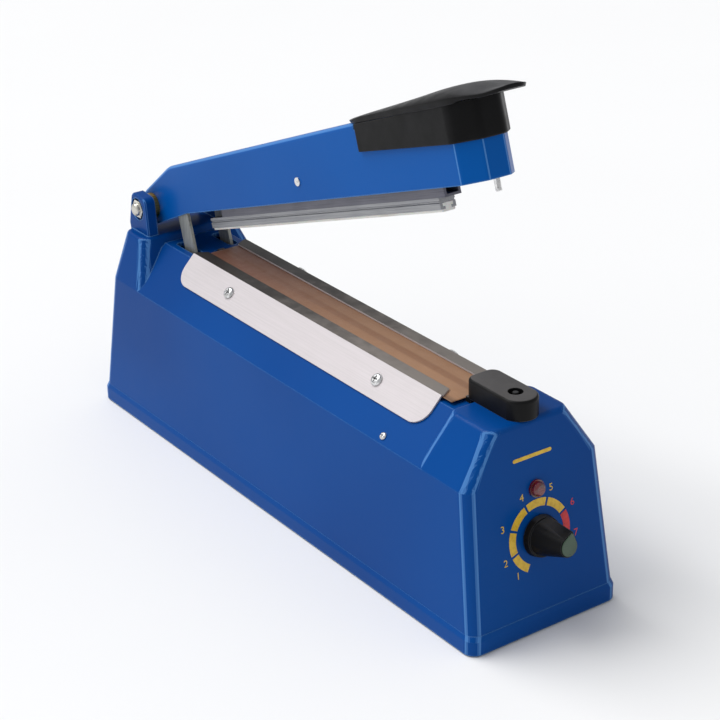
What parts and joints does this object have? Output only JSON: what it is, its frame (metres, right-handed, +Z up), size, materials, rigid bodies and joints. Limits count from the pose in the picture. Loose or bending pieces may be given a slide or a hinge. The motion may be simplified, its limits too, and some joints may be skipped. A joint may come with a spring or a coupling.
{
  "type": "impulse heat sealer",
  "caption": "Hand impulse heat sealer: long drafted base, heated strip on top, sprung lever arm with a pressure bar and grip, timer dial and pilot lamp on the front.",
  "frame": {"origin": "on the standing surface under the middle of the overall length and width", "axes": "+Z up, +Y towards the hinge, -Y towards the timer dial and the handle, +X to the right when the dial is faced from behind the sealer"},
  "size_m": [0.08, 0.3227, 0.2318],
  "materials": {
    "blue_paint": "glossy stove enamel, light blue on worn edges",
    "stainless": "fine lengthways brushing",
    "plate_steel": "zinc plated sheet",
    "screw_steel": "bright plated hardware",
    "spring_steel": "oiled spring wire",
    "core_steel": "varnished laminations",
    "aluminium": "mill finish extrusion",
    "brass": "plain brass",
    "element_alloy": "flat nickel-chrome ribbon",
    "copper_wire": "enamelled wire under yellow tape",
    "ptfe_fabric": "tan glass cloth coated with PTFE",
    "insulation": "hard paper laminate",
    "silicone": "white silicone",
    "black_rubber": "matt",
    "black_plastic": "moulded, slightly glossy",
    "yellow_ink": "screen printed mark",
    "red_ink": "screen printed mark",
    "cap_plastic": "grey green insert",
    "red_lens": "translucent dark red",
    "white_plastic": "natural nylon",
    "blue_plastic": "moulded relay case",
    "circuit_board": "green solder mask",
    "component_black": "sleeved cans",
    "component_tan": "lacquered resistors",
    "pot_metal": "pressed case"
  },
  "bodies": {
    "base": {"base_housing": "blue_paint", "board_bracket": "plate_steel", "board_capacitors": "component_black", "board_resistors": "component_tan", "board_screws": "screw_steel", "board_spacers": "white_plastic", "bottom_plate": "plate_steel", "bottom_plate_screws": "screw_steel", "cord_grommet": "black_rubber", "dial_scale_red": "red_ink", "dial_scale_yellow": "yellow_ink", "electrode_clamps": "brass", "electrode_insulators": "insulation", "electrode_screws": "screw_steel", "element_insulator": "insulation", "heating_element": "element_alloy", "hinge_nuts": "screw_steel", "hinge_pin": "screw_steel", "housing_screws": "screw_steel", "lamp_body": "white_plastic", "lamp_lens": "red_lens", "lift_spring": "spring_steel", "microswitch_body": "black_plastic", "microswitch_bracket": "plate_steel", "microswitch_screws": "screw_steel", "potentiometer_body": "pot_metal", "potentiometer_nut": "screw_steel", "ptfe_cloth": "ptfe_fabric", "rubber_feet": "black_rubber", "side_plate_left": "stainless", "side_plate_right": "stainless", "side_plate_screws": "screw_steel", "spring_guide": "plate_steel", "switch_cover": "black_plastic", "terminal_block": "black_plastic", "terminal_screws": "screw_steel", "timer_board": "circuit_board", "timer_relay": "blue_plastic", "transformer_bobbin": "black_plastic", "transformer_core": "core_steel", "transformer_frame": "plate_steel", "transformer_screws": "screw_steel", "transformer_winding": "copper_wire"},
    "arm": {"arm_shell": "blue_paint", "handle_grip": "black_plastic", "grip_screws": "screw_steel", "hinge_bushes": "brass", "link_pin": "screw_steel", "bar_pivot_pin": "screw_steel", "switch_push_pin": "screw_steel"},
    "link": {"lift_link": "plate_steel"},
    "seat": {"spring_seat": "plate_steel"},
    "bar": {"pressure_channel": "plate_steel", "pressure_bar": "aluminium", "silicone_strip": "silicone", "pressure_bar_screws": "screw_steel"},
    "knob": {"timer_knob": "black_plastic", "knob_cap": "cap_plastic", "potentiometer_shaft": "screw_steel"},
    "plunger": {"microswitch_plunger": "black_plastic"}
  },
  "joints": [
    {"name": "arm_hinge", "type": "hinge", "parent": "base", "child": "arm", "pos_m": [0, 0.1428, 0.1058], "axis": [1, 0, 0], "range_deg": [0, 18], "stiffness_Nm_per_rad": 1.5, "springref_deg": -57.3},
    {"name": "link_swing", "type": "hinge", "parent": "arm", "child": "link", "pos_m": [0, 0.12082, 0.1142], "axis": [1, 0, 0], "range_deg": [-16.3, 0]},
    {"name": "bar_rock", "type": "hinge", "parent": "arm", "child": "bar", "pos_m": [0, 0.01045, 0.15637], "axis": [1, 0, 0], "range_deg": [0, 1.55]},
    {"name": "seat_slide", "type": "slide", "parent": "base", "child": "seat", "axis": [0, 0, 1], "range_m": [-0.0077, 0], "deforming": ["lift_spring"]},
    {"name": "knob_turn", "type": "hinge", "parent": "base", "child": "knob", "pos_m": [0, -0.14196, 0.04255], "axis": [0, -0.9895, 0.1443], "range_deg": [-86, 173]},
    {"name": "plunger_slide", "type": "slide", "parent": "base", "child": "plunger", "axis": [0, 0, -1], "range_m": [0, 0.0012], "stiffness_N_per_m": 300, "springref_m": -0.003}
  ],
  "couplings": [
    {"joint": "link_swing", "follows": "arm_hinge", "ratio": -0.90293},
    {"joint": "bar_rock", "follows": "arm_hinge", "ratio": 0.083333},
    {"joint": "seat_slide", "follows": "arm_hinge", "m_per_rad": -0.024356}
  ]
}
